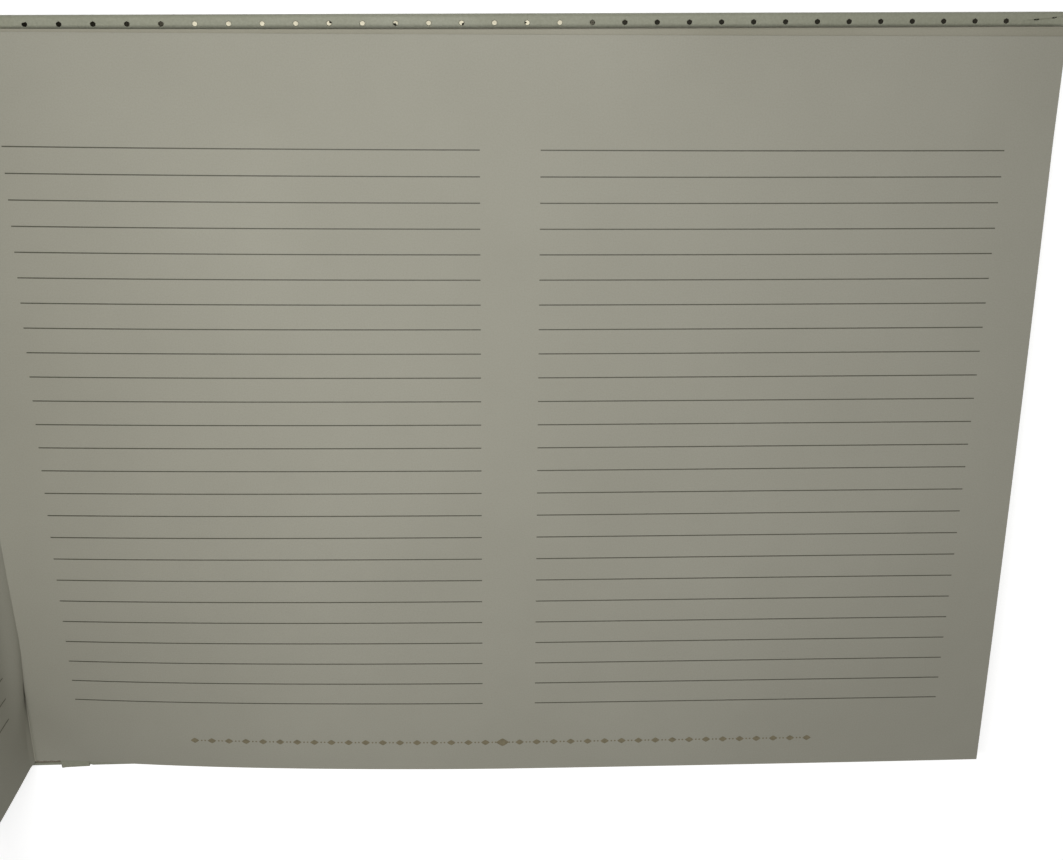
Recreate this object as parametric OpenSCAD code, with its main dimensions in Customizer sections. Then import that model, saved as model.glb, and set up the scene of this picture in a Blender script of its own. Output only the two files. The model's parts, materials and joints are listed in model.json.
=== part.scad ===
// Wedding guest book: a case-bound landscape book of ruled leaves, half open.
//
// The back cover and the spine lie flat.  The back cover carries the right half
// of the leaves.  The left half stands square to them on the spine's other edge,
// with the front cover behind.  The back cover, the right half, the spine, the
// left half, the front flyleaf and the front cover are separate bodies.  They
// turn about two axes: one along each edge of the spine.
//
// Frame: the origin is at the centre of the back cover's underside.  +X points
// from the spine to the fore-edge, +Y to the head of the page, +Z up.

/* [Leaves] */
// Width of a leaf, from its fold to its fore-edge
leaf_w = 273.2; // [200:0.2:330]
// Height of a leaf, from tail to head
leaf_h = 203.2; // [140:0.2:260]
// Thickness of one sewn section of folded leaves
section_t = 2.35; // [1.6:0.05:3.2]
// Thickness of a flyleaf
flyleaf_t = 0.3; // [0.2:0.05:0.5]

/* [Covers] */
// Thickness of the stiff board in each cover
board_t = 2.2; // [1.6:0.1:3.2]
// How far the covers reach past the leaves at the fore-edge
square_fore = 3.5; // [2.5:0.1:6]
// How far the covers reach past the leaves at the head and at the tail
square_head = 3.3; // [2.5:0.1:6.5]
// Width of the turned-in cover material on the inside of a board
turn_in = 15; // [10:0.5:20]
// Bare rim of turned-in material that the pastedown leaves in view
rim = 3.4; // [2.5:0.1:6]
// Radius of a cover's corners in plan
corner_r = 1.6; // [0.8:0.1:3]

/* [Spine and joints] */
// Width of the flexible joint between a board and the spine
joint_w = 7; // [6:0.5:10]
// Thickness of the board in the spine
spine_board_t = 1.2; // [0.8:0.1:1.3]
// Width of each sewing tape
tape_w = 14; // [8:1:20]

/* [Hidden] */

side_sections = 4;            // sections in each half of the book
skin_t = 0.5;                 // cover material on the outside and round the edges
turn_t = 0.4;                 // cover material where it is pressed flat on the inside
paste_t = 0.3;                // pastedown, the endpaper glued to a board
slack = 0.1;                  // air beside a flyleaf and between the two halves

// Levels above the underside of a cover
board_z = skin_t;
turn_z = board_z + board_t;
paste_z = turn_z + turn_t;
cover_t = paste_z + paste_t;
joint_t = turn_t + skin_t - slack;
axis_z = cover_t - joint_t / 2;

// One half of the leaves, lying on its cover
flyleaf_z = cover_t + slack;
leaves_z = flyleaf_z + flyleaf_t + slack;
page_z = leaves_z + side_sections * section_t;
half_t = page_z + slack;

// The spine joins the two axes, and lies flat while the book is half open
spine_s = 2 * (half_t - axis_z);
bead_r = 0.6;                 // rounded edge of a joint, centred on its axis
flank_s = 0.5;                // from an axis to the spine's own edge
flank_t = 0.4;                // cover material round the spine board's long edges
inset_s = 0.8;                // from an axis to the sewn backs and their linings
backs_d = -1;                 // inner face of the sewn backs
backs_t = 0.7;                // depth of the sewn backs
lining_t = 0.4;               // each of the two linings
plate_d = 0.8;                // inner face of the spine's case, past a narrow hollow
liner_t = 0.3;                // paper on the inside of the spine board
band_r = 0.6;                 // headband

// Plan sizes
fold_reach = 7.1;             // flexible strip of each leaf between its fold and the flat part
gutter_x = 0.3 - backs_d;     // where the flat part of the leaves starts, clear of the backs
block_w = leaf_w - fold_reach;
fore_x = gutter_x + block_w;
cover_x = fore_x + square_fore;
cover_w = cover_x - joint_w;
cover_h = leaf_h + 2 * square_head;
hinge_x = -(joint_w + cover_w / 2);
tape_pitch = leaf_h / 4;

cover_colour = [0.80, 0.79, 0.72];
paper_colour = [0.86, 0.85, 0.78];
board_colour = [0.55, 0.50, 0.42];
cloth_colour = [0.88, 0.86, 0.80];
tape_colour = [0.78, 0.72, 0.58];
band_colour = [0.90, 0.84, 0.66];

$fn = 48;

// ---- frames -------------------------------------------------------------

// Children are drawn with x = 0 on the back hinge axis, in the back cover's half.
module back_half() {
    translate([hinge_x, 0, 0]) children();
}

// The same drawing, mirrored so that it stands up on the front hinge axis.
module front_half() {
    translate([hinge_x - spine_s, 0, axis_z]) mirror([1, 0, -1])
        translate([0, 0, -axis_z]) children();
}

// Children are drawn with x along the spine from the back axis to the front
// axis, y to the head and z out of the book.
module in_spine() {
    translate([hinge_x, 0, axis_z]) rotate([0, 180, 0]) children();
}

// A box given by its low and high corners.
module block(low, high) {
    translate(low) cube(high - low);
}

// A plate from z0 to z1 whose plan is centred on the x axis and rounded at its fore corners.
module cover_plate(x0, x1, h, z0, z1, r) {
    translate([0, 0, z0]) linear_extrude(z1 - z0) union() {
        translate([x0, -h / 2]) square([x1 - x0 - r, h]);
        translate([x0, -h / 2 + r]) square([x1 - x0, h - 2 * r]);
        for (side = [-1, 1]) translate([x1 - r, side * (h / 2 - r)]) circle(r);
    }
}

// ---- a cover, drawn once for both -----------------------------------------

module board_shape() {
    color(board_colour)
        cover_plate(joint_w + skin_t, cover_x - skin_t, cover_h - 2 * skin_t,
                    board_z, turn_z, corner_r - skin_t);
}

// Cover material: the outer face, all four edges, and turn-ins on three sides.
module skin_shape() {
    color(cover_colour) difference() {
        cover_plate(joint_w, cover_x, cover_h, 0, paste_z, corner_r);
        cover_plate(joint_w + skin_t, cover_x - skin_t, cover_h - 2 * skin_t,
                    board_z, turn_z, corner_r - skin_t);
        block([joint_w + skin_t, -cover_h / 2 + turn_in, turn_z - 1],
              [cover_x - turn_in, cover_h / 2 - turn_in, paste_z + 1]);
    }
}

// The pastedown fills the window in the turn-ins and laps over them.
module pastedown_shape() {
    color(paper_colour) union() {
        block([joint_w + skin_t, -cover_h / 2 + turn_in, turn_z],
              [cover_x - turn_in, cover_h / 2 - turn_in, paste_z]);
        block([joint_w, -cover_h / 2 + rim, paste_z],
              [cover_x - rim, cover_h / 2 - rim, cover_t]);
    }
}

// Outer layer of the joint, ending in the bead on the hinge axis.
module joint_skin_shape() {
    color(cover_colour) union() {
        block([0, -cover_h / 2, axis_z - joint_t / 2], [joint_w, cover_h / 2, axis_z]);
        translate([0, 0, axis_z]) rotate([90, 0, 0]) cylinder(r = bead_r, h = cover_h, center = true);
    }
}

// Inner layer of the joint: the endpaper where it crosses from the board to the leaves.
module joint_paper_shape() {
    color(paper_colour)
        block([bead_r, -cover_h / 2 + rim, axis_z], [joint_w, cover_h / 2 - rim, cover_t]);
}

// ---- leaves ---------------------------------------------------------------

module flyleaf_shape() {
    color(paper_colour)
        block([gutter_x, -leaf_h / 2, flyleaf_z], [fore_x, leaf_h / 2, flyleaf_z + flyleaf_t]);
}

// Section number n of one half, counted from the cover to the open page.
module section_shape(n) {
    z = leaves_z + (n - 1) * section_t;
    color(paper_colour)
        block([gutter_x, -leaf_h / 2, z], [fore_x, leaf_h / 2, z + section_t]);
}

// ---- spine ----------------------------------------------------------------

module spine_board_shape() {
    d = plate_d + liner_t;
    color(board_colour)
        block([flank_s + flank_t, -cover_h / 2 + skin_t, d],
              [spine_s - flank_s - flank_t, cover_h / 2 - skin_t, d + spine_board_t]);
}

// Cover material round the spine board, turned in at the head and the tail.
module spine_skin_shape() {
    s0 = flank_s + flank_t;
    s1 = spine_s - s0;
    d1 = plate_d + liner_t + spine_board_t;
    color(cover_colour) difference() {
        block([flank_s, -cover_h / 2, plate_d], [spine_s - flank_s, cover_h / 2, d1 + skin_t]);
        block([s0, -cover_h / 2 + skin_t, plate_d + liner_t], [s1, cover_h / 2 - skin_t, d1]);
        block([s0, -cover_h / 2 + turn_in, plate_d - 1], [s1, cover_h / 2 - turn_in, d1 - liner_t]);
    }
}

module spine_liner_shape() {
    color(paper_colour)
        block([flank_s + flank_t, -cover_h / 2 + turn_in, plate_d],
              [spine_s - flank_s - flank_t, cover_h / 2 - turn_in, plate_d + liner_t]);
}

// Back of one sewn section: the rounded fold of its sheets, glued to the linings.
module section_back_shape(n) {
    w = (spine_s - 2 * inset_s) / (2 * side_sections);
    r = w / 2;
    d1 = backs_d + backs_t;
    color(paper_colour) translate([inset_s + (n - 0.5) * w, 0, 0])
        rotate([90, 0, 0]) linear_extrude(leaf_h, center = true) intersection() {
            translate([-r, backs_d]) square([w, backs_t]);
            union() {
                translate([0, d1 - r]) circle(r);
                translate([-r, d1 - r - backs_t]) square([w, backs_t]);
            }
        }
}

module tape_box(n, grow) {
    d = backs_d + backs_t;
    y = (n - 2) * tape_pitch;
    block([inset_s - grow, y - tape_w / 2, d - grow],
          [spine_s - inset_s + grow, y + tape_w / 2, d + lining_t + grow]);
}

module sewing_tape_shape(n) {
    color(tape_colour) tape_box(n, 0);
}

// Open-weave lining glued on the backs, lying between and beside the tapes.
module mull_lining_shape() {
    d = backs_d + backs_t;
    color(cloth_colour) difference() {
        block([inset_s, -leaf_h / 2, d], [spine_s - inset_s, leaf_h / 2, d + lining_t]);
        for (n = [1:3]) tape_box(n, 0.5);
    }
}

module paper_lining_shape() {
    d = backs_d + backs_t + lining_t;
    color(board_colour)
        block([inset_s, -leaf_h / 2, d], [spine_s - inset_s, leaf_h / 2, d + lining_t]);
}

// Headband: a beaded roll on a short tab, at the head of the backs.
module band_shape() {
    s0 = inset_s + 0.2;
    s1 = spine_s - s0;
    d = backs_d + backs_t / 2;
    color(band_colour) translate([0, leaf_h / 2, 0]) union() {
        block([s0, 0, d - band_r], [s1, band_r, d + band_r]);
        translate([s0, band_r, d]) rotate([0, 90, 0]) cylinder(r = band_r, h = s1 - s0);
    }
}

// ---- the pieces ----------------------------------------------------------

module back_board() { back_half() board_shape(); }
module back_cover_skin() { back_half() skin_shape(); }
module back_pastedown() { back_half() pastedown_shape(); }
module back_joint_skin() { back_half() joint_skin_shape(); }
module back_joint_paper() { back_half() joint_paper_shape(); }

module back_flyleaf() { back_half() flyleaf_shape(); }
module right_section(n) { back_half() section_shape(n); }

module spine_board() { in_spine() spine_board_shape(); }
module spine_skin() { in_spine() spine_skin_shape(); }
module spine_liner() { in_spine() spine_liner_shape(); }
module paper_lining() { in_spine() paper_lining_shape(); }
module mull_lining() { in_spine() mull_lining_shape(); }
module sewing_tape(n) { in_spine() sewing_tape_shape(n); }
module section_back(n) { in_spine() section_back_shape(n); }
module head_band() { in_spine() band_shape(); }
module tail_band() { in_spine() mirror([0, 1, 0]) band_shape(); }

module left_section(n) { front_half() section_shape(n); }
module front_flyleaf() { front_half() flyleaf_shape(); }

module front_board() { front_half() board_shape(); }
module front_cover_skin() { front_half() skin_shape(); }
module front_pastedown() { front_half() pastedown_shape(); }
module front_joint_skin() { front_half() joint_skin_shape(); }
module front_joint_paper() { front_half() joint_paper_shape(); }

back_board();
back_cover_skin();
back_pastedown();
back_joint_skin();
back_joint_paper();
back_flyleaf();
for (n = [1:side_sections])
    right_section(n);
spine_board();
spine_skin();
spine_liner();
paper_lining();
mull_lining();
for (n = [1:3])
    sewing_tape(n);
for (n = [1:2 * side_sections])
    section_back(n);
head_band();
tail_band();
for (n = [1:side_sections])
    left_section(n);
front_flyleaf();
front_board();
front_cover_skin();
front_pastedown();
front_joint_skin();
front_joint_paper();
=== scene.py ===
# %% [markdown]
# # A case-bound guest book, half open
#
# This lesson dresses the construction of a landscape guest book.  The frame
# gives the boards, the linings and the two axes along the spine, at their real
# size.  Every surface that a hand or an eye meets is made here: the leaves, the
# ruled lines printed on them, the grained cover material with its pressed foil
# dots, the headbands and the endpapers.
#
# Nearly every shape is a grid of points worked out by a formula, as whole numpy
# arrays.  The grid then becomes a mesh in one step.

# %% Load the frame
import json
import math

import bpy
import numpy as np
from mathutils import Matrix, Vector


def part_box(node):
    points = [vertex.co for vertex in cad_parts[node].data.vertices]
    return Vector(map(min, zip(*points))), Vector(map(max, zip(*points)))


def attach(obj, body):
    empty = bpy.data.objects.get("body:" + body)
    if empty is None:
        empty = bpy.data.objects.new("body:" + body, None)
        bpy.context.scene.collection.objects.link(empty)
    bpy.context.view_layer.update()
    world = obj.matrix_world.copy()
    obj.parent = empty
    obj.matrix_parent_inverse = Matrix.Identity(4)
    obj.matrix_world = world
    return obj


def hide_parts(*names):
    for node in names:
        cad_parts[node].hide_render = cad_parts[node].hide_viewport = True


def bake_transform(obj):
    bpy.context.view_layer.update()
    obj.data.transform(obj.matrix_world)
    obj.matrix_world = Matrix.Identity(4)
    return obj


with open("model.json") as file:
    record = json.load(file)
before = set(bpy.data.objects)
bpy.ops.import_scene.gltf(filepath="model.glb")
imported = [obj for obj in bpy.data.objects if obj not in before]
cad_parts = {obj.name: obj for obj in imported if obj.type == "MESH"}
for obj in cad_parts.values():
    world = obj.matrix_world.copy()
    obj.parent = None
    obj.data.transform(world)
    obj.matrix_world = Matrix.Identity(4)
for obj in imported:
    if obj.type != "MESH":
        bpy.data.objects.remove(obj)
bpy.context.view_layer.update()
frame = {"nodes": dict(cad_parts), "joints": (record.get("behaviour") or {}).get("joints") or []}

# %% [markdown]
# ## The book's own measures
#
# A book is measured from its spine.  All shapes below are drawn in millimetres
# in one frame for half a book that lies on its cover: x runs from the hinge axis
# to the fore-edge, y from tail to head, and z up from the cover's underside.
# The numbers come from the frame's boxes, so the looks follow the construction.

# %% Measures of one half
MM = 0.001


def joint_point(name):
    """The point on a joint's axis, as an array in metres."""
    return np.array([j["pos_m"] for j in frame["joints"] if j["name"] == name][0], float)


def local_span(node):
    """Lowest and highest corner of a node of the lying half, in mm from the hinge axis."""
    low, high = (np.array(corner, float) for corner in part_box(node))
    shift = np.array([back_axis[0], 0.0, 0.0])
    return (low - shift) / MM, (high - shift) / MM


back_axis = joint_point("right_half_fold")
front_axis = joint_point("left_half_fold")
AXIS_Z = back_axis[2] / MM
SPINE_S = float(np.linalg.norm(front_axis - back_axis)) / MM
(GUTTER_X, _, LEAVES_Z), (FORE_X, HALF_H, _) = local_span("right_section_1")
PAGE_Z = local_span("right_section_4")[1][2]
(BOARD_X, _, _), (COVER_X, COVER_HALF, TURN_Z) = local_span("back_cover_skin")
(_, _, _), (PASTE_X, PASTE_HALF, COVER_T) = local_span("back_pastedown")
(_, _, FLY_LOW), (_, _, FLY_HIGH) = local_span("back_flyleaf")
BEAD_R = -local_span("back_joint_skin")[0][0]
JOINT_LOW = 2 * AXIS_Z - COVER_T
print(f"leaf {FORE_X:.1f} x {2 * HALF_H:.1f} mm, cover {COVER_X:.1f} x {2 * COVER_HALF:.1f} mm")
print(f"half thickness {PAGE_Z:.1f} mm, spine {SPINE_S:.1f} mm")

# %% [markdown]
# ## From the drawing to the two halves
#
# The book has two like halves.  The lying half is the drawing itself, moved to
# the hinge.  The standing half is the same drawing with x and z changed over:
# what runs along the leaf there runs up here, and what lies above the cover
# there lies beside it here.  That exchange is a mirror, and a mirror turns a
# surface inside out, so the faces of the standing half are wound the other way.
# The spine lies flat between the two axes.  It has a frame of its own: s runs
# from the back axis to the front axis, and d points out of the book.

# %% Placing points
along_spine = (front_axis - back_axis) / np.linalg.norm(front_axis - back_axis)
out_of_spine = np.array([-along_spine[2], 0.0, along_spine[0]])
shift_to_frame = np.array([back_axis[0], 0.0, 0.0])


def to_frame(points, half):
    """Millimetres of the drawing to metres of the frame; the front half has x and z changed over."""
    x, y, z = np.moveaxis(np.asarray(points, float), -1, 0)
    if half == "front":
        x, z = z - AXIS_Z - SPINE_S, x + AXIS_Z
    return np.stack([x, y, z], -1) * MM + shift_to_frame


def on_spine(s, d):
    """The drawing's x and z of a point at s along the spine and d out of it."""
    x = s * along_spine[0] + d * out_of_spine[0]
    z = AXIS_Z + s * along_spine[2] + d * out_of_spine[2]
    return x, z


print("spine direction", np.round(along_spine, 3), "outward", np.round(out_of_spine, 3))

# %% [markdown]
# ## Meshes from whole arrays
#
# Blender can take a mesh point by point, but that is slow in Python.  Here the
# vertices, corners and faces go in with `foreach_set`, one call for each array.
# A part is a small tuple: points, four-sided faces, triangles, and one UV pair
# for each point.  Parts are joined by shifting their face numbers.  Smooth
# shading stops at edges that turn by more than a set angle, or the narrow rim of
# a sheet would cast a false shade over its face.

# %% Mesh helpers
SHARP_ANGLE = math.radians(32)


def grid_faces(rows, columns, close_rows=False):
    """Four-sided faces of a grid of points, numbered row by row; the rows may close to a loop."""
    last = rows if close_rows else rows - 1
    i, j = np.meshgrid(np.arange(last), np.arange(columns - 1), indexing="ij")
    i, j, after = i.ravel(), j.ravel(), (i.ravel() + 1) % rows
    return np.stack([i * columns + j, after * columns + j, after * columns + j + 1, i * columns + j + 1], 1)


def fan_faces(ring, centre):
    """Triangles from each point of a closed ring to the next one and to a centre."""
    return np.stack([ring, np.roll(ring, -1), np.full(len(ring), centre)], 1)


NO_TRIANGLES = np.zeros((0, 3), int)


def grid_part(points, quads):
    """Points and faces as a part whose UVs are the first two coordinates."""
    points = points.reshape(-1, 3)
    return points, quads, NO_TRIANGLES, points[:, :2]


def joined(parts):
    """Several parts as one: their points and UVs in a row, and their faces renumbered."""
    starts = np.cumsum([0] + [len(part[0]) for part in parts[:-1]])
    points = np.concatenate([part[0] for part in parts])
    quads = np.concatenate([part[1] + start for part, start in zip(parts, starts)])
    triangles = np.concatenate([part[2] + start for part, start in zip(parts, starts)])
    uvs = np.concatenate([part[3] for part in parts])
    return points, quads, triangles, uvs


def make_piece(name, part, half, material, smooth=True):
    """One Blender object from a part drawn in millimetres, placed in one half; a mirrored half is rewound."""
    points, quads, triangles, uvs = part
    if half == "front":
        quads, triangles = quads[:, ::-1], triangles[:, ::-1]
    placed = to_frame(points, half)
    mesh = bpy.data.meshes.new(name)
    corners = np.concatenate([quads.ravel(), triangles.ravel()]).astype(np.int32)
    sizes = np.concatenate([np.full(len(quads), 4), np.full(len(triangles), 3)])
    starts = np.concatenate([[0], np.cumsum(sizes)[:-1]]).astype(np.int32)
    mesh.vertices.add(len(placed))
    mesh.vertices.foreach_set("co", placed.astype(np.float32).ravel())
    mesh.loops.add(len(corners))
    mesh.loops.foreach_set("vertex_index", corners)
    mesh.polygons.add(len(sizes))
    mesh.polygons.foreach_set("loop_start", starts)
    mesh.polygons.foreach_set("use_smooth", np.full(len(sizes), smooth))
    mesh.update(calc_edges=True)
    mesh.set_sharp_from_angle(angle=SHARP_ANGLE)
    layer = mesh.uv_layers.new(name="surface")
    layer.data.foreach_set("uv", (uvs[corners] * MM).astype(np.float32).ravel())
    mesh.materials.append(material)
    made = bpy.data.objects.new(name, mesh)
    bpy.context.collection.objects.link(made)
    print(f"{name}: {len(sizes)} faces")
    return made


# %% [markdown]
# ## A sheet of paper as a closed solid
#
# Paper looks like a surface, but an open surface has no edge to catch light.
# So each leaf is a thin closed shell: its middle surface is moved half a
# thickness up and half a thickness down along its own normal, and a narrow
# wall runs round the four edges.

# %% Sheets
def normals_of(grid):
    """Unit normals of a grid: the cross product of its two directions of change."""
    along = np.gradient(grid, axis=0)
    across = np.gradient(grid, axis=1)
    normal = np.cross(along, across)
    return normal / np.maximum(np.linalg.norm(normal, axis=2, keepdims=True), 1e-12)


def sheet_part(middle, uv, thickness):
    """A closed shell about a middle surface: middle plus and minus half the thickness times the normal."""
    rows, columns, _ = middle.shape
    offset = normals_of(middle) * thickness / 2
    points = np.concatenate([(middle + offset).reshape(-1, 3), (middle - offset).reshape(-1, 3)])
    count = rows * columns
    top = grid_faces(rows, columns)
    number = np.arange(count).reshape(rows, columns)
    rim = np.concatenate([number[:, 0], number[-1, 1:], number[-2::-1, -1], number[0, -2:0:-1]])
    after = np.roll(rim, -1)
    walls = np.stack([rim, rim + count, after + count, after], 1)
    quads = np.concatenate([top, top[:, ::-1] + count, walls])
    flat = uv.reshape(-1, 2)
    return points, quads, NO_TRIANGLES, np.concatenate([flat, flat])


print("sheet helper ready; a leaf has two faces and four walls")

# %% [markdown]
# ## Finishes
#
# Four finishes carry the look.  The paper is uncoated and a greyish ivory, with
# faint clouds and fibres.  The cover material is a paper with a fine
# pressed grain and a low sheen.  The foil is a dark mirror-like metal.  The ink
# is a thin dark olive.  Each colour varies a little, because no sheet of paper
# is one flat tone.  The patterns read the surface's own UV map on pieces that
# bend, so that they stay with the paper, and Object coordinates elsewhere.

# %% Shader helpers
def from_srgb(red, green, blue):
    """A display colour in 0 to 255 as the linear colour that a shader takes."""
    display = np.array([red, green, blue], float) / 255
    linear = np.where(display <= 0.04045, display / 12.92, ((display + 0.055) / 1.055) ** 2.4)
    return (*linear.tolist(), 1.0)


def add_node(tree, kind, values=None, **properties):
    """A new node, with socket values by name and properties by keyword."""
    made = tree.nodes.new(kind)
    for key, value in properties.items():
        setattr(made, key, value)
    for key, value in (values or {}).items():
        made.inputs[key].default_value = value
    return made


def new_material(name, roughness, metallic=0.0, **sockets):
    """An empty material and its shader, with constant values straight on the sockets."""
    made = bpy.data.materials.new(name)
    made.use_nodes = True
    shader = made.node_tree.nodes["Principled BSDF"]
    shader.inputs["Roughness"].default_value = roughness
    shader.inputs["Metallic"].default_value = metallic
    for key, value in sockets.items():
        shader.inputs[key.replace("_", " ")].default_value = value
    return made, made.node_tree, shader


def surface_coordinates(tree, by_uv):
    """The piece's own UV map in metres, or its Object coordinates."""
    if by_uv:
        return add_node(tree, "ShaderNodeUVMap", uv_map="surface").outputs["UV"]
    return add_node(tree, "ShaderNodeTexCoord").outputs["Object"]


def noise(tree, where, scale, detail=3.0, rough=0.55):
    """Smooth noise; scale is the number of clouds to a metre."""
    made = add_node(tree, "ShaderNodeTexNoise", {"Scale": scale, "Detail": detail, "Roughness": rough})
    tree.links.new(where, made.inputs["Vector"])
    return made.outputs["Fac"]


def ramp(tree, value, stops):
    """A colour ramp through (position, colour) stops."""
    made = add_node(tree, "ShaderNodeValToRGB")
    elements = made.color_ramp.elements
    while len(elements) < len(stops):
        elements.new(0.5)
    for element, (position, colour) in zip(elements, stops):
        element.position = position
        element.color = colour
    tree.links.new(value, made.inputs["Fac"])
    return made.outputs["Color"]


def bump(tree, shader, height, strength, distance, before=None):
    """Turns a height into a bent normal; distance is the height of a full step in metres."""
    made = add_node(tree, "ShaderNodeBump", {"Strength": strength, "Distance": distance})
    tree.links.new(height, made.inputs["Height"])
    if before is not None:
        tree.links.new(before, made.inputs["Normal"])
    tree.links.new(made.outputs["Normal"], shader.inputs["Normal"])
    return made.outputs["Normal"]


def product(tree, first, second):
    """One colour times another."""
    made = add_node(tree, "ShaderNodeMix", data_type="RGBA", blend_type="MULTIPLY")
    made.inputs["Factor"].default_value = 1.0
    tree.links.new(first, made.inputs["A"])
    tree.links.new(second, made.inputs["B"])
    return made.outputs["Result"]


def combined(tree, operation, first, second):
    """One value from two, such as the greater one or the product."""
    made = add_node(tree, "ShaderNodeMath", operation=operation)
    tree.links.new(first, made.inputs[0])
    tree.links.new(second, made.inputs[1])
    return made.outputs[0]


print("shader helpers ready")

# %% [markdown]
# ### Paper
#
# Uncoated writing paper has three scales of variation: broad clouds from how it
# was made and kept, a soft cockle a centimetre or two wide, and fibres well
# under a millimetre.  The clouds tint it, the cockle bends the light, and the
# fibres do both.

# %% Paper material
def paper_material(name, light, dark, by_uv=True, cockle=0.35):
    """Paper: broad clouds mix two near tones, fibres speckle it, and cockle and fibres bend the normal."""
    made, tree, shader = new_material(name, 0.82, Specular_IOR_Level=0.3)
    where = surface_coordinates(tree, by_uv)
    clouds = noise(tree, where, 14.0, 4.0, 0.6)
    tone = ramp(tree, clouds, [(0.32, dark), (0.68, light)])
    fibres = noise(tree, where, 2600.0, 2.0, 0.7)
    speckle = ramp(tree, fibres, [(0.30, (0.93, 0.93, 0.92, 1)), (0.62, (1.0, 1.0, 1.0, 1))])
    tree.links.new(product(tree, tone, speckle), shader.inputs["Base Color"])
    soft = bump(tree, shader, noise(tree, where, 70.0, 2.0), cockle, 0.0006)
    bump(tree, shader, fibres, 0.25, 0.00006, before=soft)
    return made


leaf_paper = paper_material("leaf paper", from_srgb(163, 161, 148), from_srgb(158, 156, 143))
inner_paper = paper_material("leaf paper inside the book", from_srgb(160, 157, 142), from_srgb(150, 147, 131))
end_paper = paper_material("endpaper", from_srgb(162, 160, 147), from_srgb(154, 152, 138))
still_paper = paper_material("endpaper at the joints", from_srgb(161, 159, 146),
                             from_srgb(152, 150, 136), by_uv=False)
print("papers:", leaf_paper.name, inner_paper.name, end_paper.name, still_paper.name)

# %% [markdown]
# ### Cover material, foil and ink
#
# The cover is a paper pressed with a fine pebble grain.  A cell pattern gives
# the pebbles; its colour darkens towards each pebble's border, which is painted
# shade between the pebbles, and a noise roughens them.  The foil dots are flat
# mirrors of dark metal, so each one shines where it shows the lamp and is nearly
# black where it shows the room, which is far less bright.  The ink has a colour
# and a slight mottling, where the paper took it unevenly.

# %% Cover, foil and ink materials
def cover_paper_material(name, light, dark):
    """Grained cover paper: clouds for tone, painted shade that darkens each pebble towards its border, and
    pebbles and fine noise for the pressed grain.
    """
    made, tree, shader = new_material(name, 0.55, Specular_IOR_Level=0.3)
    where = surface_coordinates(tree, False)
    tone = ramp(tree, noise(tree, where, 30.0, 5.0, 0.6), [(0.3, dark), (0.7, light)])
    pebbles = add_node(tree, "ShaderNodeTexVoronoi", {"Scale": 1900.0, "Randomness": 1.0})
    tree.links.new(where, pebbles.inputs["Vector"])
    # Painted shade: the colour falls to 0.86 towards each pebble's border, as if shade lay between the
    # pebbles.
    shade = ramp(tree, pebbles.outputs["Distance"], [(0.0, (1, 1, 1, 1)), (0.9, (0.86, 0.86, 0.85, 1))])
    tree.links.new(product(tree, tone, shade), shader.inputs["Base Color"])
    wear = noise(tree, where, 45.0, 3.0)
    worn = ramp(tree, wear, [(0.3, (0.48, 0.48, 0.48, 1)), (0.7, (0.64, 0.64, 0.64, 1))])
    tree.links.new(worn, shader.inputs["Roughness"])
    grain = bump(tree, shader, pebbles.outputs["Distance"], 0.45, 0.00008)
    bump(tree, shader, noise(tree, where, 4200.0, 2.0), 0.3, 0.00004, before=grain)
    return made


def plain_material(name, colour, roughness, scale, spread, metallic=0.0, depth=0.00003, by_uv=False):
    """One tone with a mottling of a given scale and spread, and a bump of a given depth."""
    made, tree, shader = new_material(name, roughness, metallic)
    where = surface_coordinates(tree, by_uv)
    base = np.array(colour[:3])
    low = (*(base * (1 - spread)).tolist(), 1.0)
    high = (*np.minimum(base * (1 + spread), 1.0).tolist(), 1.0)
    mottle = noise(tree, where, scale)
    tree.links.new(ramp(tree, mottle, [(0.3, low), (0.7, high)]), shader.inputs["Base Color"])
    bump(tree, shader, mottle, 0.3, depth)
    return made


cover_paper = cover_paper_material("grained cover paper", from_srgb(156, 157, 139), from_srgb(150, 151, 133))
foil = plain_material("dark foil", (0.024, 0.0225, 0.017, 1), 0.08, 900.0, 0.15, metallic=1.0, depth=0.000004)
ruling_ink = plain_material("ruling ink", from_srgb(72, 71, 58), 0.6, 900.0, 0.2, by_uv=True)
ornament_ink = plain_material("ornament ink", from_srgb(112, 104, 80), 0.6, 900.0, 0.2, by_uv=True)
grey_board = plain_material("grey board", from_srgb(131, 122, 106), 0.9, 1200.0, 0.12, depth=0.00008)
print("finishes:", cover_paper.name, foil.name, ruling_ink.name, ornament_ink.name, grey_board.name)

# %% [markdown]
# ## Camera
#
# The camera looks down at the page from 31 centimetres above it, a little
# beyond its head, and leans back towards the middle of the page.  Its place is
# given in line spacings from the first ruled line, halfway between the two
# columns, because the ruling is the plainest measure on the page.

# %% Page layout and camera
LINE_PITCH = 6.44
LINES = 25
COLUMN_W = 115.6
COLUMN_GAP = 14.8
COLUMN_MIDDLE = 132.2
FIRST_LINE_Y = 73.6
PRINT_SKEW = math.radians(0.6)
PAGE_LEVEL = PAGE_Z - 0.3

EYE = (-1.2669, 6.0678, 48.6042)        # in line spacings
EYE_TURN = (-0.3417, -0.0419, -0.0059)  # in radians about x, y and z

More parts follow.
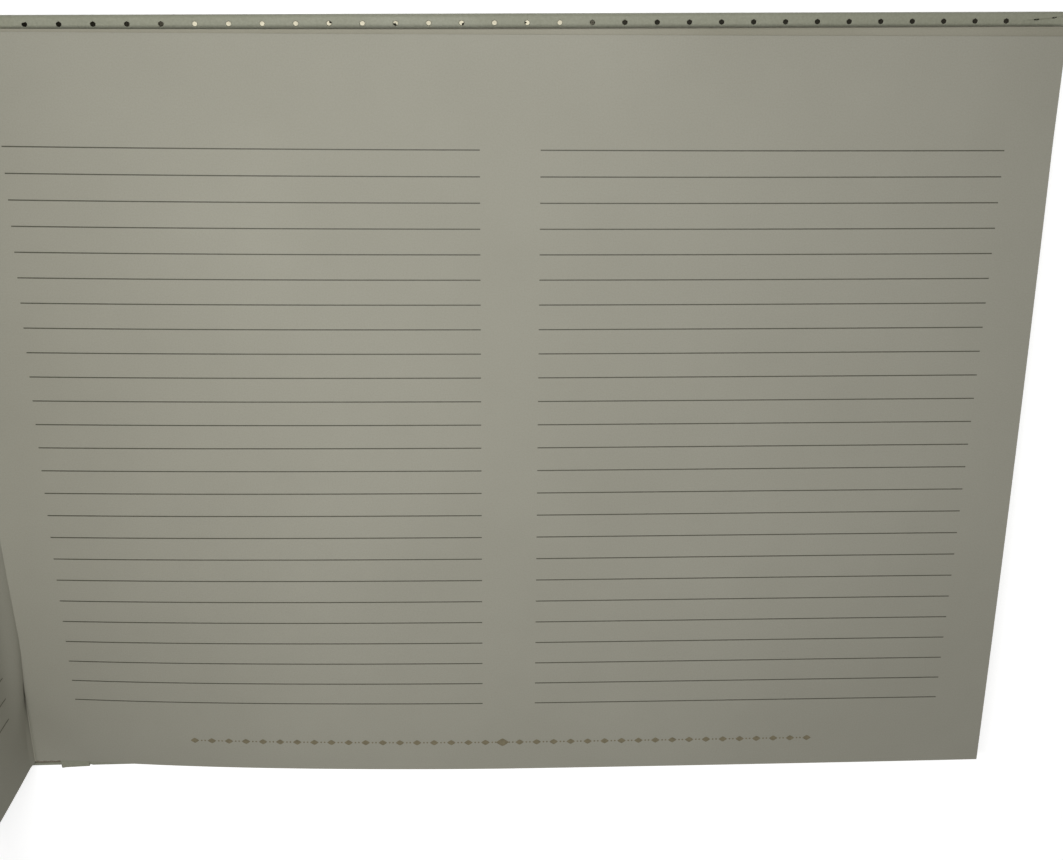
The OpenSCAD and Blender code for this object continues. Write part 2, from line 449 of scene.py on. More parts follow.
page_origin = Matrix.Translation(to_frame([COLUMN_MIDDLE, FIRST_LINE_Y, PAGE_LEVEL], "back"))
camera_data = bpy.data.cameras.new("camera")
camera_data.sensor_width = 36.0
camera_data.lens = 42.92
camera_data.clip_start = 0.01
camera = bpy.data.objects.new("camera", camera_data)
turn = (
    Matrix.Rotation(EYE_TURN[0], 4, "X")
    @ Matrix.Rotation(EYE_TURN[1], 4, "Y")
    @ Matrix.Rotation(EYE_TURN[2], 4, "Z")
)
eye = Matrix.Translation([value * LINE_PITCH * MM for value in EYE])
camera.matrix_world = page_origin @ Matrix.Rotation(-PRINT_SKEW, 4, "Z") @ eye @ turn
bpy.context.collection.objects.link(camera)
bpy.context.scene.camera = camera
print("camera at", [round(value, 3) for value in camera.matrix_world.translation])

# %% [markdown]
# ## Leaves
#
# A sewn leaf starts at the spine, where it stands square to it, and ends at the
# fore-edge.  In the lying half it has to bend over on its way.  The bend is a
# cubic Bezier curve: its first handle points into the book, and its last one
# lies along the page.  A leaf's rank runs from 0 at the cover to 1 at the open
# page, and the height of each leaf is that share of the height of the open page.
# The leaves under the open one lie a hair lower still, or their coarse grids
# would poke through its fine one where it bends.
#
# The open page isn't flat.  The leaves lie loosely, and the thread pulls them
# down at the spine, most of all at the tail.  So the height falls away towards
# the fold as an exponential, whose depth depends on y, and it also sinks a
# little towards the loose corner at the head.

# %% The height of the open page
ROOT_S = 0.8
FOLD_S = 7.6
ROOT_D = -0.75
LEAF_T = 0.14
LEAVES_IN_SECTION = 12
SECTIONS = 4
LEAVES_BASE = LEAVES_Z + 0.05
SIDES = (("right", "back"), ("left", "front"))
OPEN_RANK = 0.983       # the open page: about the last place in the last section
UNDER_OPEN = 0.24       # how much lower a leaf just under the open page lies
FORE_TAPER = {"back": 0.3, "front": 0.0}    # how far the fore-edge is out of square at the head


def smooth_step(value):
    """Zero below 0, one above 1, and three t squared less two t cubed between."""
    t = np.clip(value, 0, 1)
    return t * t * (3 - 2 * t)


def soft_minimum(value, limit, width):
    """The smaller of two, with a rounded corner: limit less width times ln(1 + e^(gap / width))."""
    return limit - width * np.log1p(np.exp((limit - value) / width))


def lying_height(x, y):
    """Level, less an exponential dip at the fold and a square-law fall to the fore-edge, between two limits.

    The dip's depth is a cubic in v, which runs from -1 at the tail to 1 at the head, and the fall's
    two weights are a square law and a line in it.  The numbers say how loosely this book lies.
    """
    v = np.clip(y / 101.6, -1.02, 0.72)
    depth = 4.07 + 0.85 * v + 6.71 * v**2 - 2.22 * v**3
    dip = depth * np.exp(-(x + 7.4) / 64.8)
    out = np.clip((x - 130) / 139, 0, None)
    fall = (-0.40 + 1.87 * v + 2.50 * v**2) * out**2 + (1.88 + 0.57 * v) * out
    height = 13.68 + 0.45 * v + 1.45 * v**2 - dip - fall
    under = soft_minimum(height, PAGE_Z - 0.05, 0.3)
    return -soft_minimum(-under, -4.35, 0.4)


def standing_height(x, y):
    """The half that stands leans over the fold: level, plus a bulge that fades with x, and a lip at the fold.

    The bulge is (2.5 + 0.02 x) exp(-(x / 80)^2).  The lip fades towards the tail, and within
    a centimetre from the fold.
    """
    bulge = (2.5 + 0.02 * x) * np.exp(-((x / 80) ** 2))
    lip = 2.8 * (1 - smooth_step((-58 - y) / 38)) * np.exp(-((np.clip(x - 4.5, 0, None) / 5.5) ** 2))
    return PAGE_Z - 0.12 + bulge + lip


page_height = {"back": lying_height, "front": standing_height}
print("page height near the fold at the tail, middle and head:",
      np.round(lying_height(0.0, np.array([-101.6, 0.0, 75.0])), 1))

# %% [markdown]
# The two halves share one way of drawing a leaf.  They differ only in where
# the leaf is rooted and in how it leaves the spine: the lying leaf turns through
# a right angle, and the standing leaf goes nearly straight on.

# %% The shape of a leaf
ROOT_GAP = 0.05         # between the last roots of the two halves and the fold
BEND_RUN = 1.1          # how far a lying leaf runs before it lies level, and how much a whole rank adds
BEND_RUN_PER_RANK = 1.0
STANDING_BEND_X = 4.0
HANDLE = 0.75           # share of the way that a handle of the lying bend reaches
SHARE_POWER = 1.6       # crowds the grid's rows towards the fold


def leaf_roots(half, rank):
    """Root (x, z) of a leaf of some rank, and the x where its bend ends, in the half's own drawing."""
    if half == "back":
        s = ROOT_S + (FOLD_S - ROOT_GAP - ROOT_S) * rank
        root_x, root_z = on_spine(s, ROOT_D)
        return root_x, root_z, root_x + BEND_RUN + BEND_RUN_PER_RANK * rank
    s = SPINE_S - ROOT_S - (SPINE_S - ROOT_S - FOLD_S - ROOT_GAP) * rank
    return -ROOT_D, AXIS_Z + SPINE_S - s, STANDING_BEND_X


def bend_curve(half, root, end, slope, count):
    """Cubic Bezier in (x, z) from a root, into the book, to an end whose tangent has the page's slope."""
    if half == "back":
        run = HANDLE * (end[0] - root[0])
        first, last = (0.0, HANDLE * (end[1] - root[1])), (run, run * slope)
    else:
        first, last = (1.0, 0.0), (1.0, slope)
    t = np.linspace(0, 1, count, endpoint=False)[:, None]
    weights = [(1 - t) ** 3, 3 * t * (1 - t) ** 2, 3 * t**2 * (1 - t), t**3]
    knots = [[root[i], root[i] + first[i], end[i] - last[i], end[i]] for i in (0, 1)]
    return [sum(weight * knot for weight, knot in zip(weights, row)) + 0 * slope for row in knots]


def leaf_surface(half, rank, trim=(0.0, 0.0), skew=0.0, rows=(9, 20), columns=11, wave=0.0, phase=0.0):
    """Middle surface and UV of a leaf: a Bezier bend from its root, then its share of the open page's height.

    A skew shears the leaf towards the tail.  The height is taken where the sheared leaf lies.
    """
    def sheared(along):
        return flat_y - math.tan(skew) * (along - COLUMN_MIDDLE)

    flat_y = np.linspace(-1, 1, columns) * HALF_H + trim[1]
    root_x, root_z, bend_x = leaf_roots(half, rank)
    fore = FORE_X + trim[0] - FORE_TAPER[half] * flat_y / HALF_H
    x = bend_x + (fore - bend_x) * np.linspace(0, 1, rows[1])[:, None] ** SHARE_POWER
    y = sheared(x)
    under = UNDER_OPEN * rank if rank < OPEN_RANK else 0.0
    z = LEAVES_BASE + rank * (page_height[half](x, y) - LEAVES_BASE) - under
    z = z + wave * np.sin(x / 38 + phase) * np.sin(y / 55 + 2 * phase) * (np.abs(x) / FORE_X) ** 2
    slope = (z[1] - z[0]) / (x[1] - x[0])
    curve_x, curve_z = bend_curve(half, (root_x, root_z), (bend_x, z[0]), slope, rows[0])
    x, z = np.concatenate([curve_x, x]), np.concatenate([curve_z, z])
    y = sheared(x)
    grid = np.stack([x, y, z], 2)
    steps = np.linalg.norm(np.diff(grid[:, columns // 2], axis=0), axis=1)
    along = np.concatenate([[0], np.cumsum(steps)])
    uv = np.stack([np.broadcast_to(along[:, None], x.shape), y], 2)
    return grid, uv


for half in ("back", "front"):
    print(half, "half: lowest leaf rooted at", np.round(leaf_roots(half, 0.0), 1),
          "open page at", np.round(leaf_roots(half, 1.0), 1))

# %% [markdown]
# ## Sections of leaves
#
# Each section is a small stack of folded sheets.  No two leaves are cut or lie
# quite alike, so each gets its own tiny trim and wave from a seeded generator.
# Where each section's bend with the spine would start and end is worked out,
# but the pieces are only fixed where they lie and don't follow the spine when
# the book opens or shuts.  The last place in the last section is left for the
# open page, and the leaf just under that one lies half as askew.

# %% Make the sections
chance = np.random.default_rng(41)
LEAF_WAVE = 0.05
OPEN_LEAF_SKEW = math.radians(0.435)
LYING_BLEND_X = 1.5         # where a section stops following the spine, and its height there
LYING_BLEND_RISE = 5.5
STANDING_BLEND_X = 8.0
leaf_columns = {"back": 25, "front": 11}    # the lying leaves dip at the fold, so they need more


def bend_with_spine(piece, half, low_rank, high_rank):
    """Works out where a section's bend with the spine starts and ends, which is not used, and bakes the
    piece's placement into its mesh.
    """
    middle = (low_rank + high_rank) / 2
    root_x, root_z, _ = leaf_roots(half, middle)
    if half == "back":
        start = [LYING_BLEND_X, 0.0, LEAVES_BASE + middle * LYING_BLEND_RISE]
    else:
        start = [STANDING_BLEND_X, 0.0, root_z]
    start, end = to_frame(start, half), to_frame([root_x, 0.0, root_z], half)
    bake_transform(piece)


def leaf_rank(section, leaf):
    """A leaf's share of the way from the cover to the open page, with a hair between sections."""
    return (section - 1 + 0.03 + 0.94 * (leaf + 0.5) / LEAVES_IN_SECTION) / SECTIONS


for side, half in SIDES:
    for section in range(1, SECTIONS + 1):
        leaves = []
        count = LEAVES_IN_SECTION - (1 if section == SECTIONS else 0)
        for leaf in range(count):
            just_under = section == SECTIONS and leaf == count - 1 and side == "right"
            skew = OPEN_LEAF_SKEW * 0.45 if just_under else 0.0
            trim = (chance.normal(0, 0.10), chance.normal(0, 0.04))
            shape = leaf_surface(half, leaf_rank(section, leaf), trim, skew, columns=leaf_columns[half],
                                 wave=LEAF_WAVE, phase=chance.uniform(0, 6))
            leaves.append(sheet_part(*shape, LEAF_T))
        piece = make_piece(f"{side}_section_{section}_leaves", joined(leaves), half, inner_paper)
        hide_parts(f"{side}_section_{section}")
        bend_with_spine(piece, half, (section - 1) / SECTIONS, section / SECTIONS)

# %% [markdown]
# ## The two open pages
#
# The leaf on top of each half is the one that is seen, so it has a finer grid.
# The right-hand one lies a little askew: its head edge falls away towards the
# fore-edge, and there it shows the edge of the next leaf.  Both have slipped
# about a millimetre towards the tail.

# %% Make the open pages
open_skew = {"back": OPEN_LEAF_SKEW, "front": 0.0}
open_shift = {"back": -1.15, "front": -1.0}
for side, half in SIDES:
    trim = (0.35, open_shift[half])
    shape = leaf_surface(half, OPEN_RANK, trim, open_skew[half], rows=(28, 80), columns=61)
    piece = make_piece(f"{side}_open_page", sheet_part(*shape, LEAF_T), half, leaf_paper)
    bend_with_spine(piece, half, (SECTIONS - 1) / SECTIONS, 1.0)

# %% [markdown]
# ## Ruled lines
#
# The ruling is printed, so it has almost no height.  It could be painted by the
# shader, but a line a third of a millimetre wide would blur in a baked image.
# Here each line is a very thin strip that lies on the page's own surface, in two
# columns of twenty-five.

# %% Ruling
INK_T = 0.02
INK_LIFT = 0.025
LINE_W = 0.3
print_skew = {"back": PRINT_SKEW, "front": 0.0}
first_column_x = {"back": COLUMN_MIDDLE - COLUMN_GAP / 2 - COLUMN_W, "front": 13.5}
first_line_y = {"back": FIRST_LINE_Y, "front": FIRST_LINE_Y + 1.0}


def on_page(half, x, y, lift):
    """Points on the face of the open page: its height, plus half the leaf and the lift."""
    z = LEAVES_BASE + OPEN_RANK * (page_height[half](x, y) - LEAVES_BASE)
    return np.stack([x, y, z + LEAF_T / 2 + lift], -1)


def ruled_line(half, x0, x1, y0, samples=44):
    """One printed line: a thin strip of rectangular section that follows the page from x0 to x1."""
    across = np.array([-0.5, 0.5, 0.5, -0.5]) * LINE_W
    lift = np.array([1, 1, 0, 0]) * INK_T + INK_LIFT
    x = np.linspace(x0, x1, samples)[:, None] + math.tan(print_skew[half]) * (y0 - FIRST_LINE_Y) + 0 * across
    y = y0 - math.tan(print_skew[half]) * (x - COLUMN_MIDDLE) + across
    points = on_page(half, x, y, lift + 0 * x)
    number = np.arange(samples * 4).reshape(samples, 4)
    around = np.roll(number, -1, axis=1)
    quads = np.stack([number[:-1], number[1:], around[1:], around[:-1]], -1).reshape(-1, 4)
    ends = np.stack([number[0], number[-1, ::-1]])
    uv = np.stack([x, y], -1).reshape(-1, 2)
    return points.reshape(-1, 3), np.concatenate([quads, ends]), NO_TRIANGLES, uv


def page_ruling(half):
    """All ruled lines of one page: two columns from its first line down."""
    first, top = first_column_x[half], first_line_y[half]
    starts = (first, first + COLUMN_W + COLUMN_GAP)
    heights = top - LINE_PITCH * np.arange(LINES)
    return joined([ruled_line(half, x, x + COLUMN_W, y) for x in starts for y in heights])


for side, half in SIDES:
    piece = make_piece(f"{side}_page_ruling", page_ruling(half), half, ruling_ink)
    bend_with_spine(piece, half, (SECTIONS - 1) / SECTIONS, 1.0)

# %% [markdown]
# ## Ornament at the foot of the page
#
# The foot of the page carries a fine printed row that is no taller than a line
# of small type.  It is a plain chain: lozenges with hollow sides, with two round
# specks between neighbours and a larger lozenge in the middle.  Every motif is a
# thin plate.

# %% Ornament
ORNAMENT_MIDDLE = 128.7
ORNAMENT_Y = FIRST_LINE_Y - 26.0 * LINE_PITCH
MOTIF_PITCH = 4.9
MOTIFS = 37
LOZENGE_W = 2.4
LOZENGE_H = 1.7
LOZENGE_HOLLOW = 1.7
SPECK_W = 0.5


def star_outline(width, height, hollow, count=20):
    """A lozenge with hollow sides: width and height times cosine and sine to a power; 1 gives an ellipse."""
    angle = np.arange(count) / count * 2 * math.pi
    across = np.sign(np.cos(angle)) * np.abs(np.cos(angle)) ** hollow * width / 2
    up = np.sign(np.sin(angle)) * np.abs(np.sin(angle)) ** hollow * height / 2
    return np.stack([across, up], 1)


def printed_plate(outline, centre_x, centre_y):
    """A thin plate on the page: two fans of triangles about the middle and a wall between them."""
    count = len(outline)
    flat = np.concatenate([outline, [[0.0, 0.0]]]) + np.array([centre_x, centre_y])
    top = on_page("back", flat[:, 0], flat[:, 1], INK_LIFT + INK_T)
    low = on_page("back", flat[:, 0], flat[:, 1], INK_LIFT)
    ring = np.arange(count)
    after = np.roll(ring, -1)
    fan = fan_faces(ring, count)
    under = fan[:, [1, 0, 2]] + count + 1
    walls = np.stack([ring, ring + count + 1, after + count + 1, after], 1)
    return np.concatenate([top, low]), walls, np.concatenate([fan, under]), np.concatenate([flat, flat])


def ornament_row():
    """The chain: motif i stands i pitches along, counted from the middle, with two specks after it."""
    plates = []
    speck = star_outline(SPECK_W, SPECK_W, 1.0, 10)
    for i in range(MOTIFS):
        along = (i - (MOTIFS - 1) / 2) * MOTIF_PITCH
        x = ORNAMENT_MIDDLE + along
        y = ORNAMENT_Y - math.tan(PRINT_SKEW) * (x - COLUMN_MIDDLE)
        grow = 1.5 if i == MOTIFS // 2 else 1.0
        lozenge = star_outline(LOZENGE_W * grow, LOZENGE_H * grow, LOZENGE_HOLLOW)
        plates.append(printed_plate(lozenge, x, y))
        if i < MOTIFS - 1:
            for share in (0.4, 0.6):
                plates.append(printed_plate(speck, x + share * MOTIF_PITCH, y))
    return joined(plates)


ornament = make_piece("page_ornament", ornament_row(), "back", ornament_ink)
bend_with_spine(ornament, "back", (SECTIONS - 1) / SECTIONS, 1.0)

# %% [markdown]
# ## Flyleaves and pastedowns
#
# An endpaper is one folded sheet.  One half is glued to the board and is called
# the pastedown.  The other half is the flyleaf, the first leaf that turns.  The
# pastedown shows where the turned-in cover material ends under it: the paper
# steps down there, over about two millimetres.

# %% Endpapers
TURN_IN = 15.0
PASTE_T = 0.2
FLY_T = 0.16
FINE_BAND = 21.0        # how far from its edges the pastedown's grid is fine
STEP_DOWN = 0.2


def pastedown_surface():
    """The glued sheet: level over the turn-ins, and one step lower inside them."""
    coarse = FINE_BAND + 1
    x_fine = np.linspace(PASTE_X - FINE_BAND, PASTE_X, 26)
    x = np.concatenate([np.linspace(BOARD_X, PASTE_X - coarse, 30), x_fine])
    edge = PASTE_HALF - np.linspace(0, FINE_BAND, 26)
    y = np.concatenate([-edge, np.linspace(-PASTE_HALF + coarse, PASTE_HALF - coarse, 12), edge[::-1]])
    x, y = np.meshgrid(x, y, indexing="ij")
    inside = np.minimum(COVER_X - x, COVER_HALF - np.abs(y))
    z = COVER_T - PASTE_T / 2 - 0.02 - STEP_DOWN * smooth_step((inside - TURN_IN + 1.0) / 2.0)
    z = z + 0.015 * np.sin(x / 9.0) * np.sin(y / 7.0)
    return np.stack([x, y, z], 2), np.stack([x, y], 2)


def flyleaf_surface(phase):
    """A loose leaf: flat at the joint, with a slow wave that grows to the fore-edge."""
    x = np.concatenate([np.linspace(0.95, GUTTER_X + 3, 8), np.linspace(GUTTER_X + 5, FORE_X, 34)])
    x, y = np.meshgrid(x, np.linspace(-HALF_H, HALF_H, 21), indexing="ij")
    z = (FLY_LOW + FLY_HIGH) / 2 + 0.05 * np.sin(x / 33 + phase) * np.cos(y / 41) * (x / FORE_X)
    return np.stack([x, y, z], 2), np.stack([x, y], 2)


for half, fly_body in (("back", "right_leaves"), ("front", "front_flyleaf")):
    piece = make_piece(f"{half}_pastedown_sheet", sheet_part(*pastedown_surface(), PASTE_T), half, end_paper)
    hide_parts(f"{half}_pastedown")
    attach(piece, f"{half}_cover")
    flyleaf = sheet_part(*flyleaf_surface(len(half)), FLY_T)
    piece = make_piece(f"{half}_flyleaf_sheet", flyleaf, half, end_paper)
    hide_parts(f"{half}_flyleaf")
    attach(piece, fly_body)

# %% [markdown]
# ## Cover material: the edges
#
# The cover material wraps each board.  Seen in section it runs flat along the
# outside, turns round the board's edge in two soft quarter circles, and runs
# flat again on the inside.  That section is a profile of inset and height.  It
# is carried round the board's outline, which is a rectangle with rounded
# corners, and the outline shrinks as the inset grows.

# %% A profile carried round a rectangle
DOT_PITCH = 7.949
DOT_R = 0.65
DOT_DEPTH = 0.13


def quarter(centre, radius, start, stop, steps=7):
    """Points on an arc, as (inset, height) pairs."""
    angle = np.radians(np.linspace(start, stop, steps))
    return np.stack([centre[0] + radius * np.cos(angle), centre[1] + radius * np.sin(angle)], 1)


def edge_profile(outer_r, inner_r, thickness, land):
    """From the outer face round the edge to the inner face: arc, wall, arc and a short level land."""
    outer = quarter((outer_r, outer_r), outer_r, 270, 180)
    inner = quarter((inner_r, thickness - inner_r), inner_r, 180, 90)
    return np.concatenate([outer, inner, [[land, thickness]]])


def ring_part(low, high, corner_r, profile, arc_steps=7):
    """The profile carried round a rectangle from low to high, with rounded corners, as (a, b, height)."""
    inset, height = profile[:, 0], profile[:, 1]
    pull = np.maximum(corner_r, inset)
    radius = np.maximum(corner_r - inset, 0.0)
    loops = []
    corners = ((high[0], low[1], 1, -1, -90), (high[0], high[1], 1, 1, 0),
               (low[0], high[1], -1, 1, 90), (low[0], low[1], -1, -1, 180))
    for a, b, side_a, side_b, start in corners:
        angle = np.radians(start + np.linspace(0, 90, arc_steps))[:, None]
        loops.append(np.stack([
            a - side_a * pull + radius * np.cos(angle),
            b - side_b * pull + radius * np.sin(angle),
            height + 0 * angle], 2))
    grid = np.concatenate(loops)
    return grid_part(grid, grid_faces(*grid.shape[:2], True))


print("edge profile has", len(edge_profile(1.1, 0.9, TURN_Z, 1.0)), "points")

# %% [markdown]
# ## Cover material: the dotted faces
#
# Small round dots of foil are pressed into the cover material at a regular
# pitch.  A dot must sink below the surface, so the face needs a round hole at
# each dot.  The face is laid out as rectangular cells, one for each dot.  In a
# cell, sixteen points on the rectangle are joined to sixteen points on the
# circle in the same directions.  Two level rings keep the shading round the hole
# even, the lip rolls over the edge, and the foil lies at the bottom like the base
# of a shallow dish, tilted by a hair so that no two dots mirror quite the same.

# %% A face of dotted cells
CELL_POINTS = 16
DISH_RINGS = ((0.3, 0.0), (0.12, 0.0), (0.03, 0.03), (0.0, 0.08))   # past the foil's radius, and depth
FLOOR_R = 0.9 * DOT_R
DOT_TILT = 0.009
FIRST_DOT_IN = 3.0      # from the hinge end of a cover's outer face to its first dot
LAST_DOT_IN = 2.0       # the least room beyond the last dot of a face


def rectangle_points(a0, a1, b0, b1):
    """Sixteen points round each rectangle, anticlockwise: the corners and three on each side."""
    t = np.arange(CELL_POINTS // 4) / (CELL_POINTS // 4)
    zero, one = 0 * t, 0 * t + 1
    share_a = np.concatenate([t, one, 1 - t, zero])
    share_b = np.concatenate([zero, t, one, 1 - t])
    a = a0[:, None] + (a1 - a0)[:, None] * share_a
    b = b0[:, None] + (b1 - b0)[:, None] * share_b
    return a, b


def dotted_face(a_edges, b_edges, a_dots, b_dots, height, up, seed):
    """Cover material and foil of a face: cells between the edges, each with a dish at its dot.

    The dish goes down into the face: up is +1 where the face looks up and -1 where it looks down.
    """
    a_low, b_low = (grid.ravel() for grid in np.meshgrid(a_edges[:-1], b_edges[:-1], indexing="ij"))
    a_top, b_top = (grid.ravel() for grid in np.meshgrid(a_edges[1:], b_edges[1:], indexing="ij"))
    a_mid, b_mid = (grid.ravel() for grid in np.meshgrid(a_dots, b_dots, indexing="ij"))
    rim_a, rim_b = rectangle_points(a_low, a_top, b_low, b_top)
    da, db = rim_a - a_mid[:, None], rim_b - b_mid[:, None]
    reach = np.hypot(da, db)
    da, db = da / reach, db / reach
    rings = [(rim_a, rim_b, 0 * rim_a)]
    for past, depth in DISH_RINGS:
        radius = DOT_R + past
        rings.append((a_mid[:, None] + radius * da, b_mid[:, None] + radius * db, depth + 0 * da))
    skin = np.stack([np.stack([a, b, height - up * deep], -1) for a, b, deep in rings], 1)
    tilt = np.random.default_rng(seed).normal(0, DOT_TILT, (2, len(a_mid)))
    base = DOT_DEPTH - FLOOR_R * (tilt[0][:, None] * da + tilt[1][:, None] * db)
    floor = np.stack([a_mid[:, None] + FLOOR_R * da, b_mid[:, None] + FLOOR_R * db, height - up * base], -1)
    dish = np.stack([skin[:, -1], floor], 1)
    middle = np.stack([a_mid, b_mid, 0 * a_mid + height - up * DOT_DEPTH], -1)
    return grid_part(skin, ring_quads(*skin.shape[:2], up)), foil_of(dish, middle, up)


def ring_quads(cells, rings, up):
    """Faces between neighbouring rings of every cell, wound to look up or down."""
    cell, ring, k = np.meshgrid(np.arange(cells), np.arange(rings - 1), np.arange(CELL_POINTS), indexing="ij")
    cell, ring, k = cell.ravel(), ring.ravel(), k.ravel()
    after = (k + 1) % CELL_POINTS
    start = (cell * rings + ring) * CELL_POINTS
    quads = np.stack([start + k, start + after, start + CELL_POINTS + after, start + CELL_POINTS + k], 1)
    return quads if up > 0 else quads[:, ::-1]


def foil_of(dish, middle, up):
    """The foil of all cells as one part: a sloping wall, and a fan for the floor."""
    cells, rings = dish.shape[:2]
    points = np.concatenate([dish.reshape(-1, 3), middle])
    cell, k = (grid.ravel() for grid in np.meshgrid(np.arange(cells), np.arange(CELL_POINTS), indexing="ij"))
    start = (cell * rings + rings - 1) * CELL_POINTS
    fan = np.stack([start + k, start + (k + 1) % CELL_POINTS, cells * rings * CELL_POINTS + cell], 1)
    fan = fan if up > 0 else fan[:, ::-1]
    return points, ring_quads(cells, rings, up), fan, points[:, :2]


def cell_edges(low, high, dots):
    """Edges of the cells of a row of dots: midway between dots, and the two ends."""
    return np.concatenate([[low], (dots[1:] + dots[:-1]) / 2, [high]])


def cells_along(low, high, first_dot):
    """Dots at their pitch from first_dot, and the edges of their cells."""
    dots = np.arange(first_dot, high - LAST_DOT_IN, DOT_PITCH)
    return dots, cell_edges(low, high, dots)


print("a dot is", 2 * DOT_R, "mm across, and the dots are", DOT_PITCH, "mm apart")

# %% [markdown]
# ## The folded corners
#
# At a cover's fore corners the turned-in material is folded twice, and the fold
# rises as a low crease that runs almost along the edge.  The dots that lie on
# the crease are pinched to slits.  The patch is a grid whose height is a step
# at the crease, a soft ridge beside it, and a small pucker that fades out.

# %% Corner patches
CORNER_W = 12.1
EDGE_OUTER_R = 1.1
EDGE_INNER_R = 0.9
STRIP_END = 4.6
DOT_INSET = 2.1
FOIL_LIFT = 0.012
SLITS = ((3.7, 0.72), (8.1, 0.62))      # way along the crease, and half the length
SLIT_W = 0.42


def crease_inset(along):
    """Inset of the crease: 1.9 mm where it starts, less a share of the square of the way to the corner."""
    return 1.9 - 0.0085 * along**2


def corner_height(along, inset):
    """Height above the turn-in: a step down inside the crease, its ridge, and a pucker across it."""
    grow = smooth_step(along / 3.0)
    across = inset - crease_inset(along)
    step = -0.16 * smooth_step(across / 0.35 + 0.5) * grow
    ridge = 0.10 * np.exp(-((across + 0.25) / 0.3) ** 2) * grow
    pucker = 0.035 * np.sin(along * 2.1 + inset * 1.3) * np.exp(-((across - 0.6) / 0.8) ** 2) * grow
    rim = smooth_step((inset - EDGE_INNER_R) / 0.3)
    return (step + ridge + pucker) * rim


def corner_patch(side):
    """The patch at the head (side 1) or tail (side -1) corner, as a grid of height over the turn-in."""
    along, inset = np.meshgrid(np.linspace(0, CORNER_W - EDGE_INNER_R, 90),
                               np.linspace(EDGE_INNER_R, STRIP_END, 34), indexing="ij")
    x = COVER_X - CORNER_W + along
    y = side * (COVER_HALF - inset)
    z = TURN_Z + corner_height(along, inset)
    quads = grid_faces(*along.shape)
    return grid_part(np.stack([x, y, z], 2), quads[:, ::-1] if side > 0 else quads)


def pinched_dots(side):
    """Two slits of foil on the crease: flat ellipses sheared to lie along it."""
    parts = []
    for along, half_length in SLITS:
        slope = (crease_inset(along + 0.5) - crease_inset(along - 0.5)) * -side
        outline = star_outline(2 * half_length, SLIT_W, 1.0, 16)
        turned = np.stack([outline[:, 0], outline[:, 1] + outline[:, 0] * slope], 1)
        ring = np.concatenate([turned, [[0, 0]]])
        x = COVER_X - CORNER_W + along + ring[:, 0]
        y = side * (COVER_HALF - crease_inset(along)) + ring[:, 1]
        z = TURN_Z + corner_height(x - COVER_X + CORNER_W, COVER_HALF - np.abs(y)) + FOIL_LIFT
        fan = fan_faces(np.arange(len(outline)), len(outline))
        parts.append((np.stack([x, y, z], 1), np.zeros((0, 4), int), fan, np.stack([x, y], 1)))
    return joined(parts)


print("crease inset from", crease_inset(0.0), "to", round(float(crease_inset(CORNER_W)), 2), "mm")

# %% [markdown]
# ## The covers
#
# One function draws a cover in the lying half, and the front cover is the same
# drawing placed in the standing half.  The outer face is all dotted cells.  The
# inner face only needs the strip of turned-in material that the pastedown
# leaves in view, on three sides.

# %% Make the covers
COVER_CORNER_R = 1.6
STRIP_DOTS = 31
STRIP_STRETCH = 1.2     # the greatest shift of a dot
STRIP_CREST = 0.94      # where it is greatest, counted from the fore corner in half rows


def strip_along_x(side, seed):
    """Turned-in strip at the head or tail, with one row of dots, up to the corner patch.

    The paper stretched a little as it was drawn over the board, so the dots shift by a parabola.
    """
    low, high = BOARD_X + EDGE_INNER_R, COVER_X - CORNER_W
    k = np.arange(STRIP_DOTS)[::-1]
    shift = STRIP_STRETCH * (1 - (2 * k / STRIP_DOTS - STRIP_CREST) ** 2)
    dots = high - DOT_PITCH / 2 - DOT_PITCH * k + shift
    edges = cell_edges(low, high, dots)
    outer, inner = COVER_HALF - EDGE_INNER_R, COVER_HALF - STRIP_END
    b_edges = np.array([inner, outer]) if side > 0 else np.array([-outer, -inner])
    return dotted_face(edges, b_edges, dots, np.array([side * (COVER_HALF - DOT_INSET)]), TURN_Z, 1, seed)


def strip_along_y(seed):
    """Turned-in strip at the fore-edge, between the two corner patches."""
    reach = COVER_HALF - STRIP_END
    dots, edges = cells_along(-reach, reach, -12 * DOT_PITCH)
    a_edges = np.array([COVER_X - STRIP_END, COVER_X - EDGE_INNER_R])
    return dotted_face(a_edges, edges, np.array([COVER_X - DOT_INSET]), dots, TURN_Z, 1, seed)


def hinge_land():
    """The level strip of cover material at the board's hinge edge, under the joint paper."""
    a = np.array([BOARD_X + EDGE_INNER_R, BOARD_X + 2.0])
    b = np.array([-(COVER_HALF - STRIP_END), COVER_HALF - STRIP_END])
    grid = np.stack([*np.meshgrid(a, b, indexing="ij"), np.full((2, 2), TURN_Z)], 2)
    return grid_part(grid, grid_faces(2, 2))


def outer_face(seed):
    """The dotted outside of a cover, out to where its edge starts to round."""
    low, high = BOARD_X + EDGE_OUTER_R, COVER_X - EDGE_OUTER_R
    x_dots, x_edges = cells_along(low, high, low + FIRST_DOT_IN)
    reach = COVER_HALF - EDGE_OUTER_R
    y_dots, y_edges = cells_along(-reach, reach, -12.5 * DOT_PITCH)
    return dotted_face(x_edges, y_edges, x_dots, y_dots, 0.0, -1, seed)


